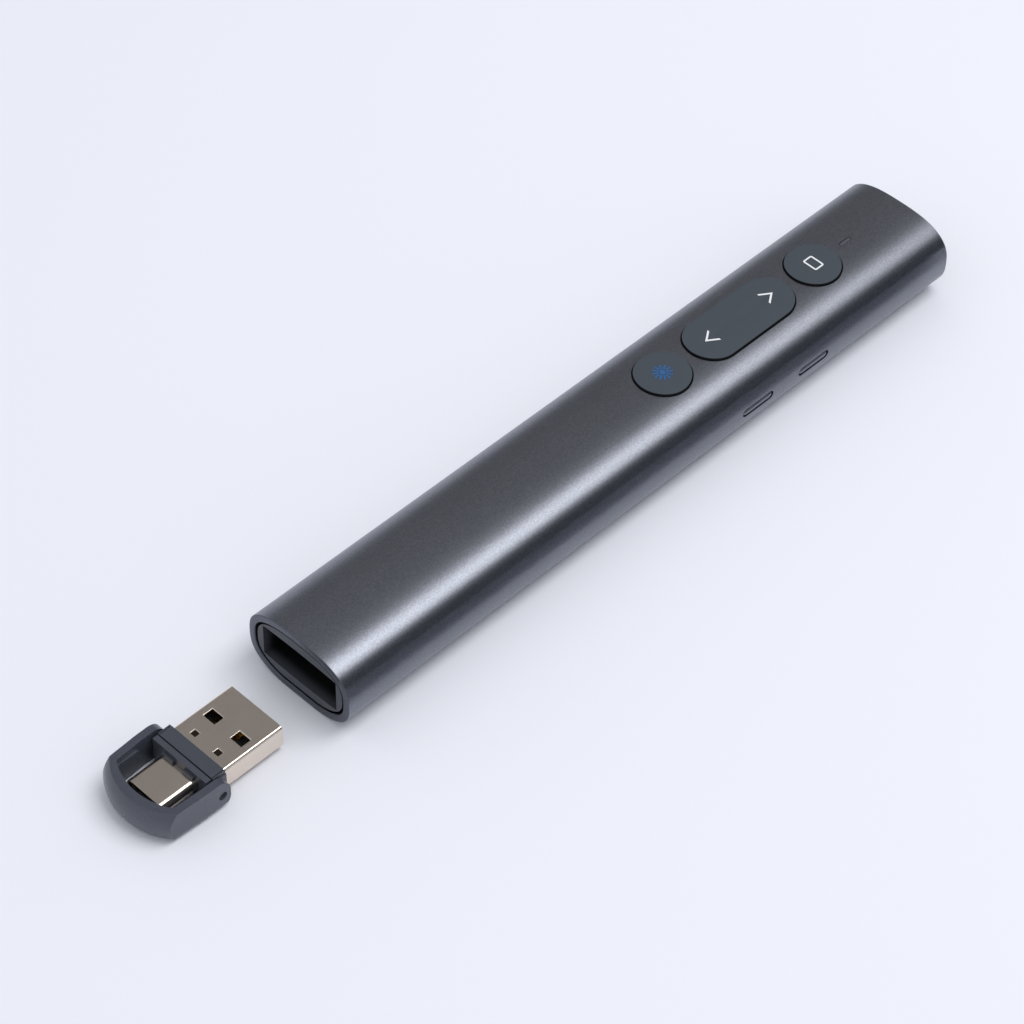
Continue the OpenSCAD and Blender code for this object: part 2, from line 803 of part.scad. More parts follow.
// Four flat contacts, the outer two longer
module usb_a_contacts() {
    color("#c9a44a") for (s = [-1, 1], c = [[contact_inner_y, contact_inner_l],
            [contact_outer_y, contact_outer_l]])
        at_collar(usb_a_l - contact_mouth - c[1], s*c[0] - contact_w/2, tongue_low + tongue_t)
            cube([c[1], contact_w, contact_t]);
}

// Bore of the hinge pins through the collar and the core
module pin_bore(gap) {
    at_collar(-hinge_back) rotate([90, 0, 0])
        cylinder(r = pin_r + gap, h = 2*bow_w, center = true, $fn = round_fn);
}

// Sleeve round the plug's root, with a shoulder at each hinge
module receiver_collar() {
    color("#4a4c57") difference() {
        union() {
            block(-collar_l, 0, collar_w, collar_h);
            block(-hinge_back - shoulder_past, 0, shoulder_w, shoulder_h);
        }
        usb_a_bar(-shell_back - seat, cut, -running);
        block(-2*collar_l, cut, neck_w + 2*seat, neck_h + 2*seat);
        block(-2*collar_l, -collar_l - running, core_w + 4*seat, 2*core_h);
        for (s = [-1, 1], t = [-1, 1])
            at_collar(-2*collar_l, s*(collar_w/2 - collar_rail) - collar_line_w/2,
                t*collar_h/2 - collar_line_depth)
                cube([2*collar_l + cut, collar_line_w, 2*collar_line_depth]);
        pin_bore(pin_seat);
    }
}

// Stepped core between the collar and the USB-C plug
module receiver_core() {
    color("#3d404a") difference() {
        union() {
            block(core_x - core_step, core_x - core_groove, core_w, core_h);
            block(core_x - core_step - core_base, core_x, base_w, base_h);
            block(core_x, core_x + neck_l, neck_w, neck_h);
        }
        block(usb_c_root - cut, cut, recv_pcb_w + 2*seat, recv_pcb_t + 2*running);
        block(usb_c_root - cut, core_x - core_step, base_notch, 2*base_h);
        usb_c_bar(usb_c_root - cut, usb_c_back + running, running);
        pin_bore(pin_seat);
    }
}

// USB-C outline with round sides, from x0 to x1, grown by gap
module usb_c_bar(x0, x1, gap) {
    at_collar(x0) rotate([90, 0, 90]) linear_extrude(x1 - x0)
        pill(usb_c_w + 2*gap, usb_c_h/2 + gap);
}

module usb_c_shell() {
    color("#c8c3bc") difference() {
        usb_c_bar(usb_c_tip, usb_c_back, 0);
        usb_c_bar(usb_c_tip - cut, usb_c_back + cut, -shell_c_t);
    }
}

module usb_c_liner() {
    color("#232427") difference() {
        usb_c_bar(usb_c_tip + usb_c_mouth, usb_c_back, -shell_c_t - usb_c_liner_gap);
        block(usb_c_tip - cut, usb_c_root + usb_c_mouth, usb_c_w - usb_c_side, usb_c_slot_h);
        block(usb_c_root, usb_c_back + cut, recv_pcb_w + 2*seat, recv_pcb_t + 2*running);
    }
}

// Two rows of thin contacts on the liner's inner faces
module usb_c_contacts() {
    color("#c9a44a") for (i = [0:11], s = [-1, 1])
        at_collar(usb_c_tip + pad_x, (i - 5.5)*pad_pitch - pad_w/2,
            s*(usb_c_slot_h - pad_t)/2 - pad_t/2)
            cube([pad_l, pad_w, pad_t]);
}

module receiver_pcb() {
    color("#1d5b3a") block(usb_c_back - recv_pcb_t, tongue_x - seat, recv_pcb_w, recv_pcb_t);
}

module receiver_chip() {
    color("#1c1d1f") block(-recv_pcb_t, -recv_pcb_t + recv_chip_l, recv_chip_l, recv_chip_h,
        (recv_pcb_t + recv_chip_h)/2);
}

module hinge_pins() {
    pin_l = bow_w/2 - pin_recess - pin_inner_y;
    color("#9a9da3") for (s = [-1, 1])
        at_collar(-hinge_back, s*(pin_inner_y + pin_l/2)) rotate([90, 0, 0])
            cylinder(r = pin_r, h = pin_l, center = true, $fn = round_fn);
}

// Outline from above of the bow's arms and all between them, w wide at the hinge
module bow_plan(w) {
    far_w = w - 2*(bow_far - bow_straight)*tan(bow_taper);
    polygon([[ear_x, w/2], [-bow_straight, w/2], [-bow_far, far_w/2], [-bow_far, -far_w/2],
        [-bow_straight, -w/2], [ear_x, -w/2]]);
}

// Barrel whose swelling wall is the bow's round end
module bow_barrel() {
    core_r = bow_r + bow_bulge - bulge_r;
    translate([bow_r - bow_reach, 0, 0]) rotate_extrude($fn = 96) intersection() {
        translate([0, -bow_h/2]) square([bow_r + bow_bulge, bow_h]);
        union() {
            translate([0, -bow_h/2]) square([core_r, bow_h]);
            translate([core_r, 0]) circle(r = bulge_r, $fn = 96);
        }
    }
}

// Bar along -X, l long, that takes the sharp edge off an arm's lower outer side
module edge_cutter(l) {
    difference() {
        translate([-l, -bow_edge_r, -bow_h/2 - cut]) cube([l, bow_edge_r + cut, bow_edge_r + cut]);
        translate([-l - cut, -bow_edge_r, bow_edge_r - bow_h/2]) rotate([0, 90, 0])
            cylinder(r = bow_edge_r, h = l + 2*cut, $fn = round_fn);
    }
}

// U-shaped bow on two hinge pins, with a round ear on each and a grip pad inside each arm
module swivel_bow() {
    inner_w = bow_w - 2*bow_arm;
    corner_z = bow_h/2 - ear_r;
    color("#4a4c57") at_collar(-hinge_back) difference() {
        union() {
            difference() {
                intersection() {
                    bow_barrel();
                    translate([0, 0, -bow_h/2]) linear_extrude(bow_h) bow_plan(bow_w);
                }
                translate([0, 0, -bow_h]) linear_extrude(2*bow_h) intersection() {
                    translate([bow_inner_r + bow_bar - bow_reach, 0])
                        circle(r = bow_inner_r, $fn = 96);
                    bow_plan(inner_w);
                }
            }
            for (s = [-1, 1]) translate([0, s*(inner_w + bow_arm)/2, 0]) {
                for (c = [-1, 1]) translate([ear_x, 0, c*corner_z]) rotate([90, 0, 0])
                    cylinder(r = ear_r, h = bow_arm, center = true, $fn = round_fn);
                translate([ear_x, -bow_arm/2, -corner_z]) cube([ear_r, bow_arm, 2*corner_z]);
            }
            for (m = [0, 1]) mirror([0, m, 0])
                translate([grip_pad_x - grip_pad_l/2, inner_w/2 - grip_pad_proud, grip_pad_z])
                rotate([-90, 0, 0]) linear_extrude(grip_pad_proud + overlap)
                rounded(grip_pad_l, grip_pad_h, grip_pad_r);
        }
        for (m = [0, 1]) mirror([0, m, 0]) {
            translate([ear_reach + cut, bow_w/2, 0]) edge_cutter(ear_reach + cut + bow_straight);
            translate([-bow_straight, bow_w/2, 0]) rotate([0, 0, bow_taper])
                edge_cutter(bow_far - bow_straight + cut);
        }
        rotate([90, 0, 0])
            cylinder(r = pin_r + running, h = 2*bow_w, center = true, $fn = round_fn);
    }
}

body_tube();
dock_insert();
nose_plug();
inner_frame();
battery_door();
battery_cell();
battery_spring();
spring_plate();
positive_contact();
main_pcb();
radio_chip();
crystal();
pcb_screws();
laser_switch();
page_down_switch();
page_up_switch();
screen_switch();
volume_down_switch();
volume_up_switch();
slide_switch();
rocker_bracket();
status_led();
light_pipe();
laser_module();
laser_lens();
laser_key();
page_rocker();
screen_key();
volume_down_key();
volume_up_key();
power_knob();
usb_a_shell();
usb_a_tongue();
usb_a_contacts();
receiver_collar();
receiver_core();
receiver_pcb();
receiver_chip();
usb_c_shell();
usb_c_liner();
usb_c_contacts();
hinge_pins();
swivel_bow();
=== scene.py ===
# %% [markdown]
# # A wireless presentation clicker and its USB receiver
#
# The clicker is a slim metal tube with rubbery keys. Its receiver lies in front of the open dock in
# the tail: a USB-A plug one way, a USB-C plug the other way, and a bow that swings round the USB-C
# plug. Their solids come packed as a fixed frame, and this file gives them edges, marks, finishes
# and light. Everything is in metres, in the frame of the solids.

import json
import math

import bpy
from mathutils import Matrix, Vector


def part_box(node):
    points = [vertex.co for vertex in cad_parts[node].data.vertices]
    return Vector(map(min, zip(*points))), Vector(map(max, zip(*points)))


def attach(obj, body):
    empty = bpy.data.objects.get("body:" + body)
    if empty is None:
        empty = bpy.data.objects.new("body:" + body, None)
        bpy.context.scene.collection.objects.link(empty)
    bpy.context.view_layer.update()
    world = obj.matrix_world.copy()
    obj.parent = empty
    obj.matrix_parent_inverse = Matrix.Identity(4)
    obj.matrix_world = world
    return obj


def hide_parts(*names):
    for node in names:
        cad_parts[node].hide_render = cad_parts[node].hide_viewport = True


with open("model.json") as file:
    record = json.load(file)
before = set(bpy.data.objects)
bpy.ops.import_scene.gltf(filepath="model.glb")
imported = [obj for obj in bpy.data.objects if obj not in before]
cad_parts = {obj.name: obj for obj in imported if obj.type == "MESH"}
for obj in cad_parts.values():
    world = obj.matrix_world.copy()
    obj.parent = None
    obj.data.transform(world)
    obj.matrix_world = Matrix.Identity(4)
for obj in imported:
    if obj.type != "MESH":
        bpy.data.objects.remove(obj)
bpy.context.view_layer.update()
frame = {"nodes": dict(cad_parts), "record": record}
MM = 0.001

# %% [markdown]
# ## Camera
#
# A long lens from 0.6 m looks down along the tube from above the receiver. The camera is placed by
# the point that it aims at, its direction from there, and its distance, and then rolled a little.

# %% Camera
azimuth, elevation, roll = math.radians(-136.171), math.radians(47.521), math.radians(1.342)
aim = Vector((-1.258, 4.476, 0)) * MM
distance = 598.02 * MM
back = Vector((math.cos(elevation) * math.cos(azimuth), math.cos(elevation) * math.sin(azimuth),
               math.sin(elevation)))
bpy.ops.object.select_all(action="DESELECT")
bpy.ops.object.camera_add()
camera = bpy.context.object
camera.matrix_world = (Matrix.Translation(aim + back * distance)
                       @ back.to_track_quat("Z", "Y").to_matrix().to_4x4()
                       @ Matrix.Rotation(roll, 4, "Z"))
camera.data.sensor_width = 36
camera.data.lens = 127.35
camera.data.clip_start = 0.01
bpy.context.scene.camera = camera
bpy.context.scene.view_settings.view_transform = "Standard"
print("camera at", tuple(camera.matrix_world.translation))

# %% [markdown]
# ## Two helpers for materials
#
# Colours are written as the hex values that a screen shows, so one function turns them into the
# linear numbers that a shader works with. A second one adds a node: it sets the node's properties,
# then fills each input with a number, a colour or the output of another node. A Mix node keeps its
# own inputs for numbers, vectors and colours, so the places of its colour sockets are named here.

# %% Colour and node helpers
def linear(hex_colour):
    parts = [int(hex_colour[i:i + 2], 16) / 255 for i in (1, 3, 5)]
    return [p / 12.92 if p <= 0.04045 else ((p + 0.055) / 1.055) ** 2.4 for p in parts] + [1]


def add_node(tree, kind, properties=None, **inputs):
    node = tree.nodes.new(kind)
    for name, value in (properties or {}).items():
        setattr(node, name, value)
    for name, value in inputs.items():
        socket = node.inputs[name.replace("_", " ")]
        if isinstance(value, bpy.types.NodeSocket):
            tree.links.new(value, socket)
        else:
            socket.default_value = value
    return node


MIX_A, MIX_B, MIX_RESULT = 6, 7, 2
print("a mid grey is", round(linear("#808080")[0], 3), "in linear light")

# %% [markdown]
# ## Floor
#
# A plain sheet of pale, slightly blue paper that goes far past the view. It keeps the soft shadows.
# It lies 0.02 mm under the clicker, so that the two don't share a plane.

# %% Floor
def open_material(material):
    return material.node_tree, material.node_tree.nodes["Principled BSDF"]


def start_material(name, colour, metallic, roughness):
    material = bpy.data.materials.new(name)
    material.use_nodes = True
    tree, shader = open_material(material)
    shader.inputs["Base Color"].default_value = linear(colour)
    shader.inputs["Metallic"].default_value = metallic
    shader.inputs["Roughness"].default_value = roughness
    return material, tree, shader


paper, _, paper_shader = start_material("matte_paper", "#f4f6fd", 0, 0.9)
paper_shader.inputs["Specular IOR Level"].default_value = 0.1
bpy.ops.mesh.primitive_plane_add(size=6, location=(0, 0, -0.02 * MM))
floor = bpy.context.object
floor.name = "floor"
floor.data.materials.append(paper)
print("floor", tuple(floor.dimensions))

# %% [markdown]
# ## Light
#
# One softbox hangs above the clicker, a little towards its nose and the side with the slim keys. Its
# mirror image is the long bright band on the tube's shoulder.

# %% Softbox
def aim_at_clicker(thing, way, distance):
    """Puts thing that far away, facing the origin, with its own X level across the tube."""
    way = way.normalized()
    across = (Vector((0, 1, 0)) - way * way.y).normalized()
    turn = Matrix((across, way.cross(across), way)).transposed().to_4x4()
    thing.matrix_world = Matrix.Translation(way * distance) @ turn


bpy.ops.object.light_add(type="AREA")
softbox = bpy.context.object
softbox.name = "softbox"
softbox.data.shape = "RECTANGLE"
softbox.data.size = 0.52
softbox.data.size_y = 0.8
softbox.data.energy = 5.3
aim_at_clicker(softbox, Vector((0.26, -0.247, 0.86)), 1.1)
print("softbox", softbox.data.energy, "W")

# %% [markdown]
# Three cards are seen in the mirror images only, as the flags in a studio are. A dark one gives the
# dark band below the bright one. A grey one overhead keeps the flat tops calm. A low pale strip, only
# 4 mm from the side wall, stands in for the floor in that wall's mirror image.

# %% Cards
def flag(name, colour, size, way, distance=1.2):
    """A matte card that only mirror images show, size across and along the tube in metres."""
    across, along = size
    felt, _, felt_shader = start_material(name + "_felt", colour, 0, 1)
    felt_shader.inputs["Specular IOR Level"].default_value = 0
    bpy.ops.object.select_all(action="DESELECT")
    bpy.ops.mesh.primitive_plane_add(size=1)
    card = bpy.context.object
    card.name = name
    card.data.transform(Matrix.Diagonal((across, along, 1, 1)))
    aim_at_clicker(card, Vector(way), distance)
    card.data.materials.append(felt)
    card.visible_camera = False
    card.visible_diffuse = False
    card.visible_shadow = False
    print(name, "of", across, "by", along, "m")


flag("dark_card", "#4d5056", (1.33, 2.4), (0.487, -0.757, 0.419))
flag("grey_card", "#9c9a97", (1.28, 1.2), (0.66, 0.62, 0.71))
flag("low_card", "#f0f2f6", (0.0111, 0.5), (0, -0.0157, 0.0055), 0.01663)

# %% [markdown]
# The room is light grey above and paler near the horizon. It fills the shadows, and a ramp on the
# height of each direction gives the change from one to the other.

# %% Room
world = bpy.data.worlds.new("room")
world.use_nodes = True
bpy.context.scene.world = world
room = world.node_tree
direction = add_node(room, "ShaderNodeTexCoord")
height = add_node(room, "ShaderNodeSeparateXYZ", Vector=direction.outputs["Generated"])
ramp = add_node(room, "ShaderNodeValToRGB", Fac=height.outputs["Z"])
horizon, ceiling = ramp.color_ramp.elements
horizon.position, horizon.color = 0.05, linear("#eceff5")
ceiling.position, ceiling.color = 0.3, linear("#c8c9cd")
room.links.new(ramp.outputs["Color"], room.nodes["Background"].inputs["Color"])
print("room from", horizon.position, "to", ceiling.position, "of the way up")

# %% [markdown]
# ## Anodised aluminium
#
# The tube is extruded aluminium, blasted with fine beads and anodised dark grey. The blasting leaves
# pits of about 0.1 mm that scatter light, so the surface is satin, and the bright band on it looks
# sandy. The pits are drawn two to three times as coarse, or they wouldn't show, and their floors take
# a little more of the dye. The gloss also varies a little over each 14 mm, as the beads never hit
# evenly. The two slim side keys are made the same way.

# %% Blasted and anodised skin
def anodised_aluminium():
    material, tree, shader = start_material("bead_blasted_anodised_aluminium", "#80838b", 1, 0.33)
    place = add_node(tree, "ShaderNodeTexCoord").outputs["Object"]
    pits = add_node(tree, "ShaderNodeTexNoise", Vector=place, Scale=1 / (0.22 * MM), Detail=5,
                    Roughness=0.65)
    bump = add_node(tree, "ShaderNodeBump", Height=pits.outputs["Fac"], Strength=0.8,
                    Distance=0.02 * MM)
    tree.links.new(bump.outputs["Normal"], shader.inputs["Normal"])
    grit = add_node(tree, "ShaderNodeTexNoise", Vector=place, Scale=1 / (0.3 * MM), Detail=2)
    glint = add_node(tree, "ShaderNodeMapRange", Value=grit.outputs["Fac"], From_Min=0.35,
                     From_Max=0.65)
    dye = add_node(tree, "ShaderNodeMix", {"data_type": "RGBA"}, Factor=glint.outputs["Result"])
    dye.inputs[MIX_A].default_value = linear("#797c84")
    dye.inputs[MIX_B].default_value = linear("#878a92")
    tree.links.new(dye.outputs[MIX_RESULT], shader.inputs["Base Color"])
    clouds = add_node(tree, "ShaderNodeTexNoise", Vector=place, Scale=1 / (14 * MM), Detail=3)
    rough = add_node(tree, "ShaderNodeMapRange", Value=clouds.outputs["Fac"], To_Min=0.31,
                     To_Max=0.35)
    tree.links.new(rough.outputs["Result"], shader.inputs["Roughness"])
    return material, place, dye


tube_skin, skin_place, skin_dye = anodised_aluminium()
print(tube_skin.name, "has", len(tube_skin.node_tree.nodes), "nodes")

# %% [markdown]
# The tube's ends are sawn after the blasting. Their faces and the edges round them get a darker
# colour,
# which is painted shade: it stands in for the dark reflection that they show. The distance from the
# tube's middle says where they are.

# %% Painted shade on the sawn ends
def paint_shade_on_sawn_ends(material, place, skin, colour, wide_mm=0.16, soft_mm=0.08):
    """Mixes colour in as painted shade over the last wide_mm of the tube, with a border of soft_mm."""
    tree, shader = open_material(material)
    low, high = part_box("body_tube")
    half_length = (high.x - low.x) / 2
    along = add_node(tree, "ShaderNodeSeparateXYZ", Vector=place).outputs["X"]
    from_middle = add_node(tree, "ShaderNodeMath", {"operation": "SUBTRACT"})
    tree.links.new(along, from_middle.inputs[0])
    from_middle.inputs[1].default_value = (low.x + high.x) / 2
    far = add_node(tree, "ShaderNodeMath", {"operation": "ABSOLUTE"},
                   Value=from_middle.outputs["Value"])
    end_shade_mask = add_node(tree, "ShaderNodeMapRange", Value=far.outputs["Value"],
                    From_Min=half_length - wide_mm * MM,
                    From_Max=half_length - (wide_mm - soft_mm) * MM)
    # Painted shade: the ends' colour darkens towards the given grey.
    ends = add_node(tree, "ShaderNodeMix", {"data_type": "RGBA"}, Factor=end_shade_mask.outputs["Result"])
    tree.links.new(skin.outputs[MIX_RESULT], ends.inputs[MIX_A])
    ends.inputs[MIX_B].default_value = linear(colour)
    tree.links.new(ends.outputs[MIX_RESULT], shader.inputs["Base Color"])


# Painted shade on both ends of the tube.
paint_shade_on_sawn_ends(tube_skin, skin_place, skin_dye, "#5c5f68")
print("with its sawn ends", len(tube_skin.node_tree.nodes), "nodes")

# %% [markdown]
# ## Moulded plastics
#
# A mould that was spark eroded leaves a fine grain of about 0.05 mm, drawn here at 0.1 to 0.2 mm, or
# it wouldn't show. A polished mould leaves a smooth gloss. Handling makes the gloss uneven over each
# 5 mm or so.

# %% Moulded plastic
def plastic(name, colour, roughness, grain_mm, grain_height_mm, specular=0.5):
    material, tree, shader = start_material(name, colour, 0, roughness)
    shader.inputs["Specular IOR Level"].default_value = specular
    place = add_node(tree, "ShaderNodeTexCoord").outputs["Object"]
    grain = add_node(tree, "ShaderNodeTexNoise", Vector=place, Scale=1 / (grain_mm * MM), Detail=3)
    bump = add_node(tree, "ShaderNodeBump", Height=grain.outputs["Fac"], Strength=0.4,
                    Distance=grain_height_mm * MM)
    tree.links.new(bump.outputs["Normal"], shader.inputs["Normal"])
    wear = add_node(tree, "ShaderNodeTexNoise", Vector=place, Scale=1 / (5 * MM), Detail=4)
    rough = add_node(tree, "ShaderNodeMapRange", Value=wear.outputs["Fac"],
                     To_Min=roughness * 0.9, To_Max=min(1, roughness * 1.1))
    tree.links.new(rough.outputs["Result"], shader.inputs["Roughness"])
    return material


moulded_black = plastic("moulded_black_abs", "#2e3136", 0.5, 0.15, 0.01)
print(moulded_black.name, "has", len(moulded_black.node_tree.nodes), "nodes")

# %% [markdown]
# The three keys on top are ABS with a soft-touch coating: a polyurethane lacquer that is dead matte,
# with a slightly uneven sheen. Their colour darkens to near black down each key's side, by how far
# each point faces up. This is painted shade, so the gap round each key looks deep.

# %% Coated keys
def key_with_painted_side_shade(coat_colour="#434b53", painted_shade_colour="#0e1013"):
    material = plastic("soft_touch_coated_abs", coat_colour, 0.72, 0.12, 0.006, 0.35)
    tree, shader = open_material(material)
    facing = add_node(tree, "ShaderNodeNewGeometry").outputs["Normal"]
    upward = add_node(tree, "ShaderNodeSeparateXYZ", Vector=facing).outputs["Z"]
    side_shade_mask = add_node(tree, "ShaderNodeMapRange", Value=upward, From_Min=0.2, From_Max=0.8)
    # Painted shade: the parts of a key that face away from up get the near-black colour.
    side_shade = add_node(tree, "ShaderNodeMix", {"data_type": "RGBA"}, Factor=side_shade_mask.outputs["Result"])
    side_shade.inputs[MIX_A].default_value = linear(painted_shade_colour)
    side_shade.inputs[MIX_B].default_value = linear(coat_colour)
    tree.links.new(side_shade.outputs[MIX_RESULT], shader.inputs["Base Color"])
    return material


soft_touch = key_with_painted_side_shade()
print(soft_touch.name, "has", len(soft_touch.node_tree.nodes), "nodes")

# %% [markdown]
# The dock's plug is a grey moulding. Its colour darkens to near black over the first 2 mm of the
# pocket. This is painted shade, so the pocket looks deep.

# %% Dock
def dock_with_painted_pocket_shade(rim_colour="#43474e", painted_shade_colour="#060709"):
    material = plastic("grey_abs_with_painted_pocket_shade", rim_colour, 0.5, 0.15, 0.01)
    tree, shader = open_material(material)
    place = add_node(tree, "ShaderNodeTexCoord").outputs["Object"]
    along = add_node(tree, "ShaderNodeSeparateXYZ", Vector=place).outputs["X"]
    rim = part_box("dock_insert")[0].x
    depth = add_node(tree, "ShaderNodeMapRange", {"interpolation_type": "SMOOTHSTEP"}, Value=along,
                     From_Min=rim + 0.3 * MM, From_Max=rim + 2.4 * MM)
    # Painted shade: the pocket darkens with depth from the rim.
    pocket_shade = add_node(tree, "ShaderNodeMix", {"data_type": "RGBA"}, Factor=depth.outputs["Result"])
    pocket_shade.inputs[MIX_A].default_value = linear(rim_colour)
    pocket_shade.inputs[MIX_B].default_value = linear(painted_shade_colour)
    tree.links.new(pocket_shade.outputs[MIX_RESULT], shader.inputs["Base Color"])
    return material


dock_shaded_plastic = dock_with_painted_pocket_shade()
print(dock_shaded_plastic.name, "has", len(dock_shaded_plastic.node_tree.nodes), "nodes")

# %% [markdown]
# The other plastics differ in colour and gloss. The knob is dry and grainy, the nose plug is polished
# like black glass, and the battery door is painted to go with the tube. The switches are pale nylon
# with a dull skin. The chips are dull black epoxy, and the plugs' tongues look the same. The
# receiver's sleeve and its zinc bow have a satin coat, which draws a soft light along each edge.

# %% The other plastics and coats
finishes = {
    "anodised_tube": tube_skin,
    "key_plastic": soft_touch,
    "dock_plastic": dock_shaded_plastic,
    "frame_plastic": moulded_black,
    "knob_plastic": plastic("moulded_grey_abs", "#3a3d43", 0.45, 0.15, 0.008),
    "nose_plastic": plastic("polished_black_abs", "#25282d", 0.15, 0.4, 0.001),
    "door_plastic": plastic("metallic_painted_abs", "#4a4e57", 0.4, 0.15, 0.006),
    "switch_plastic": plastic("glass_filled_nylon", "#b9bcc0", 0.5, 0.2, 0.01),
    "chip_black": plastic("moulded_epoxy", "#1c1d1f", 0.55, 0.1, 0.008),
    "receiver_plastic": plastic("satin_polycarbonate", "#424650", 0.32, 0.15, 0.005, 0.6),
    "bow_metal": plastic("satin_coated_zinc", "#434752", 0.27, 0.15, 0.004, 0.7),
}
print(len(finishes), "finishes so far")

# %% [markdown]
# ## Nickel, gold, steel and brass
#
# Bare metal shows how it was worked. Drawing leaves scratches along the piece, turning leaves rings
# round it, and tumbling leaves a faint haze over each 3 mm or so.

# %% Metal
def metal(name, colour, roughness, grain_mm, stretch, depth_mm):
    """stretch is how many times longer a scratch is along X than across it."""
    material, tree, shader = start_material(name, colour, 1, roughness)
    place = add_node(tree, "ShaderNodeTexCoord").outputs["Object"]
    drawn = add_node(tree, "ShaderNodeMapping", Vector=place, Scale=(1 / stretch, 1, 1))
    grain = add_node(tree, "ShaderNodeTexNoise", Vector=drawn.outputs["Vector"],
                     Scale=1 / (grain_mm * MM), Detail=4)
    bump = add_node(tree, "ShaderNodeBump", Height=grain.outputs["Fac"], Strength=0.3,
                    Distance=depth_mm * MM)
    tree.links.new(bump.outputs["Normal"], shader.inputs["Normal"])
    haze = add_node(tree, "ShaderNodeTexNoise", Vector=place, Scale=1 / (3 * MM), Detail=4)
    rough = add_node(tree, "ShaderNodeMapRange", Value=haze.outputs["Fac"],
                     To_Min=roughness * 0.75, To_Max=roughness * 1.3)
    tree.links.new(rough.outputs["Result"], shader.inputs["Roughness"])
    return material


flash_gold = metal("flash_gold_plating", "#e6c27a", 0.2, 0.2, 4, 0.002)
print(flash_gold.name, "has", len(flash_gold.node_tree.nodes), "nodes")

# %% [markdown]
# The plug shells are stamped from nickel-plated steel and tumbled, so they are nearly mirrors. Two
# small dents are stamped 0.2 mm into the larger one. Their floors get a dark colour, which is painted
# shade, and a thin slab at that depth picks them out.

# %% Plug shells
def plug_nickel(colour="#e4d8cb", dent_shade_colour="#4a4038", dent_depth=0.2 * MM):
    material = metal("tumbled_nickel_plated_steel", colour, 0.16, 0.2, 6, 0.002)
    tree, shader = open_material(material)
    place = add_node(tree, "ShaderNodeTexCoord").outputs["Object"]
    split = add_node(tree, "ShaderNodeSeparateXYZ", Vector=place)
    floor_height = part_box("usb_a_shell")[1].z - dent_depth
    inside = []
    for axis, centre, reach, soft in (("Y", 0, 3.5 * MM, 0.1 * MM),
                                      ("Z", floor_height, 0.07 * MM, 0.02 * MM)):
        offset = add_node(tree, "ShaderNodeMath", {"operation": "SUBTRACT"})
        tree.links.new(split.outputs[axis], offset.inputs[0])
        offset.inputs[1].default_value = centre
        away = add_node(tree, "ShaderNodeMath", {"operation": "ABSOLUTE"},
                        Value=offset.outputs["Value"])
        near = add_node(tree, "ShaderNodeMapRange", Value=away.outputs["Value"],
                        From_Min=reach + soft, From_Max=reach)
        inside.append(near.outputs["Result"])
    both = add_node(tree, "ShaderNodeMath", {"operation": "MULTIPLY"})
    for socket, value in zip(both.inputs, inside):
        tree.links.new(value, socket)
    # Painted shade: the dents' floors darken.
    dent_shade = add_node(tree, "ShaderNodeMix", {"data_type": "RGBA"}, Factor=both.outputs["Value"])
    dent_shade.inputs[MIX_A].default_value = linear(colour)
    dent_shade.inputs[MIX_B].default_value = linear(dent_shade_colour)
    tree.links.new(dent_shade.outputs[MIX_RESULT], shader.inputs["Base Color"])
    return material


bright_nickel = plug_nickel()
print(bright_nickel.name, "has", len(bright_nickel.node_tree.nodes), "nodes")

# %% [markdown]
# The springs and the small cans on the board are nickel plated and a little hazier than the plugs. The
# screws and the bow's pins are zinc plated and greyer still. The laser sits in a brass barrel with
# rings from the lathe. The cell has a printed foil jacket.

# %% The other metals
finishes.update({
    "plug_nickel": bright_nickel,
    "contact_gold": flash_gold,
    "contact_steel": metal("nickel_plated_spring_steel", "#cfcdc8", 0.25, 0.2, 4, 0.002),
    "screw_steel": metal("zinc_plated_screw_steel", "#9a9da3", 0.35, 0.2, 1, 0.004),
    "laser_brass": metal("turned_brass", "#c9a55c", 0.22, 0.15, 0.2, 0.004),
    "cell_jacket": metal("printed_cell_jacket", "#8d9196", 0.4, 0.4, 1, 0.002),
})
print(len(finishes), "finishes so far")

# %% [markdown]
# ## Circuit board, light guide and lens
#
# The board is glass fibre under green solder mask. Its copper tracks show as slightly raised, paler
# lines, 0.5 mm apart one way and 1 mm the other. A brick pattern draws them, with the tracks for its
# mortar.

# %% Board
def solder_mask():
    material, tree, shader = start_material("green_solder_mask", "#1d5b3a", 0, 0.35)
    place = add_node(tree, "ShaderNodeTexCoord").outputs["Object"]
    cells = add_node(tree, "ShaderNodeTexBrick", {"offset": 0.37}, Vector=place,
                     Color1=linear("#1b5737"), Color2=linear("#24694a"),
                     Mortar=linear("#2f7b58"), Scale=1 / (2 * MM), Mortar_Size=0.06)
    tree.links.new(cells.outputs["Color"], shader.inputs["Base Color"])
    bump = add_node(tree, "ShaderNodeBump", Height=cells.outputs["Fac"], Strength=0.3,
                    Distance=0.03 * MM)
    tree.links.new(bump.outputs["Normal"], shader.inputs["Normal"])
    return material


finishes["circuit_board"] = solder_mask()
print(finishes["circuit_board"].name, "is ready")

# %% [markdown]
# The light guide and the lamp behind it are frosted polycarbonate, and the lens is clear glass. They
# let most of the light through, and a faint grain of 0.1 mm takes the hard edge off their gloss.

# %% Light guide and lens
def clear_part(name, colour, roughness, ior):
    material, tree, shader = start_material(name, colour, 0, roughness)
    shader.inputs["Transmission Weight"].default_value = 0.7
    shader.inputs["IOR"].default_value = ior
    place = add_node(tree, "ShaderNodeTexCoord").outputs["Object"]
    frost = add_node(tree, "ShaderNodeTexNoise", Vector=place, Scale=1 / (0.1 * MM), Detail=2)
    bump = add_node(tree, "ShaderNodeBump", Height=frost.outputs["Fac"], Strength=0.1,
                    Distance=0.002 * MM)
    tree.links.new(bump.outputs["Normal"], shader.inputs["Normal"])
    return material


